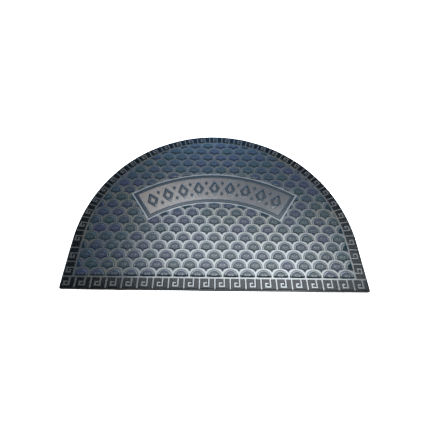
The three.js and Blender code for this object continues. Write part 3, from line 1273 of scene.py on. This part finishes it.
class DOORMAT_OT_scales(Operator):
    """Builds the field of fish scales"""

    bl_idname = "doormat.scales"
    bl_label = "Fish scales"

    def execute(self, context):
        settings = context.scene.doormat
        mat, border, scale = settings.mat, settings.border, settings.scale
        side, bottom = border.side_depth + border.line / 2, border.bottom_depth + border.line / 2
        cutters = []
        for name, outline in (
            ("field_cutter", half_round(mat, side, bottom)),
            ("panel_cutter", arch(settings.panel, -settings.panel.line / 2)),
        ):
            rings = [at_height(outline, 0), at_height(outline, 2 * mat.pile_top)]
            cutters.append(add_object(name, mesh_of(name, loft(rings))))
        template = add_object("scale", scale_mesh(settings))
        pile = finish_of(scale_pile, settings)
        mesh = run_tree("field_scales", scale_field_tree(), {
            "Scale": template, "Field": cutters[0], "Panel": cutters[1],
            "Rows": scale.rows, "Columns": scale.columns, "Seed": scale.seed,
            "Pitch": scale.pitch, "Row": scale.row,
            "First Row": SHEET_LOW.y + scale.first_row, "Offset": scale.offset,
            "Reach": mat.width / 2 - border.side_depth + scale.pitch / 2 + FIELD_SPARE,
            "Arc Y": arc_y_of(mat), "Material": pile,
        })
        for helper in (template, *cutters):
            bpy.data.objects.remove(helper)
        mesh = without_crumbs(mesh, SMALLEST_CRUMB)
        if len(mesh.polygons) < FEWEST_FACES:
            raise RuntimeError("the field of scales came out empty")
        add_piece("field_scales", mesh, pile)
        return {"FINISHED"}


class DOORMAT_OT_panel_frame(Operator):
    """Builds the raised frame of the arched panel"""

    bl_idname = "doormat.panel_frame"
    bl_label = "Panel frame"

    def execute(self, context):
        settings = context.scene.doormat
        mat, panel = settings.mat, settings.panel
        shoulder = [(inset * MM, mat.block_top - drop * MM) for inset, drop in FRAME_SHOULDER]
        profile = [
            (0, mat.root),
            *shoulder,
            (panel.frame / 2, mat.block_top),
            *[(panel.frame - inset, z) for inset, z in reversed(shoulder)],
            (panel.frame, mat.root),
        ]
        rings = [at_height(arch(panel, panel.line / 2 + inset), z) for inset, z in profile]
        mesh = mesh_of("panel_frame", loft(rings, round_trip=True), FRAME_CREASE)
        add_piece("panel_frame", mesh, finish_of(frame_pile, settings))
        return {"FINISHED"}


class DOORMAT_OT_ornament(Operator):
    """Builds the row of lozenges and small diamonds on the panel"""

    bl_idname = "doormat.ornament"
    bl_label = "Panel ornament"

    def execute(self, context):
        settings = context.scene.doormat
        panel = settings.panel
        tree, pile = ornament_row_tree(), finish_of(frame_pile, settings)
        middle = (panel.outer + panel.inner) / 2
        size = (panel.lozenge_width, panel.lozenge_height)
        eye = (panel.eye_width, panel.eye_height)
        lozenge = lozenge_mesh(settings, "lozenge", size, eye)
        size = (panel.diamond_width, panel.diamond_height)
        diamond = lozenge_mesh(settings, "diamond", size)
        meshes = []
        for shape, copies, radius in (
            (lozenge, panel.lozenges, middle),
            (diamond, panel.lozenges - 1, middle - panel.diamond_offset),
            (diamond, panel.lozenges - 1, middle + panel.diamond_offset),
        ):
            holder = add_object("shape", shape)
            meshes.append(run_tree("panel_ornament", tree, {
                "Shape": holder, "Count": copies, "Step": panel.step, "Radius": radius,
                "Centre X": panel.centre_x, "Centre Y": SHEET_LOW.y - panel.centre_drop,
                "Material": pile,
            }))
            bpy.data.objects.remove(holder)
        add_piece("panel_ornament", joined("panel_ornament", meshes), pile)
        return {"FINISHED"}


PIECES = (
    DOORMAT_OT_backing,
    DOORMAT_OT_pressed_face,
    DOORMAT_OT_key_border,
    DOORMAT_OT_scales,
    DOORMAT_OT_panel_frame,
    DOORMAT_OT_ornament,
)


class DOORMAT_PT_sidebar(Panel):
    """Lists the doormat's pieces and the stage"""

    bl_idname = "DOORMAT_PT_sidebar"
    bl_label = "Half round doormat"
    bl_space_type = "VIEW_3D"
    bl_region_type = "UI"
    bl_category = "Doormat"

    def draw(self, context):
        for operator in (DOORMAT_OT_stage, *PIECES):
            self.layout.operator(operator.bl_idname)


CLASSES = (
    MatSizes,
    BorderSizes,
    ScaleSizes,
    PanelSizes,
    Finishes,
    StageSettings,
    Doormat,
    DOORMAT_OT_stage,
    *PIECES,
    DOORMAT_PT_sidebar,
)


def register():
    for item in CLASSES:
        bpy.utils.register_class(item)
    bpy.types.Scene.doormat = PointerProperty(
        type=Doormat, name="Doormat", description="Settings of the doormat"
    )


def unregister():
    del bpy.types.Scene.doormat
    for item in reversed(CLASSES):
        bpy.utils.unregister_class(item)


def main():
    register()
    bpy.ops.doormat.stage()
    bpy.ops.doormat.backing()
    bpy.ops.doormat.pressed_face()
    bpy.ops.doormat.key_border()
    bpy.ops.doormat.scales()
    bpy.ops.doormat.panel_frame()
    bpy.ops.doormat.ornament()


if __name__ == "__main__":
    main()
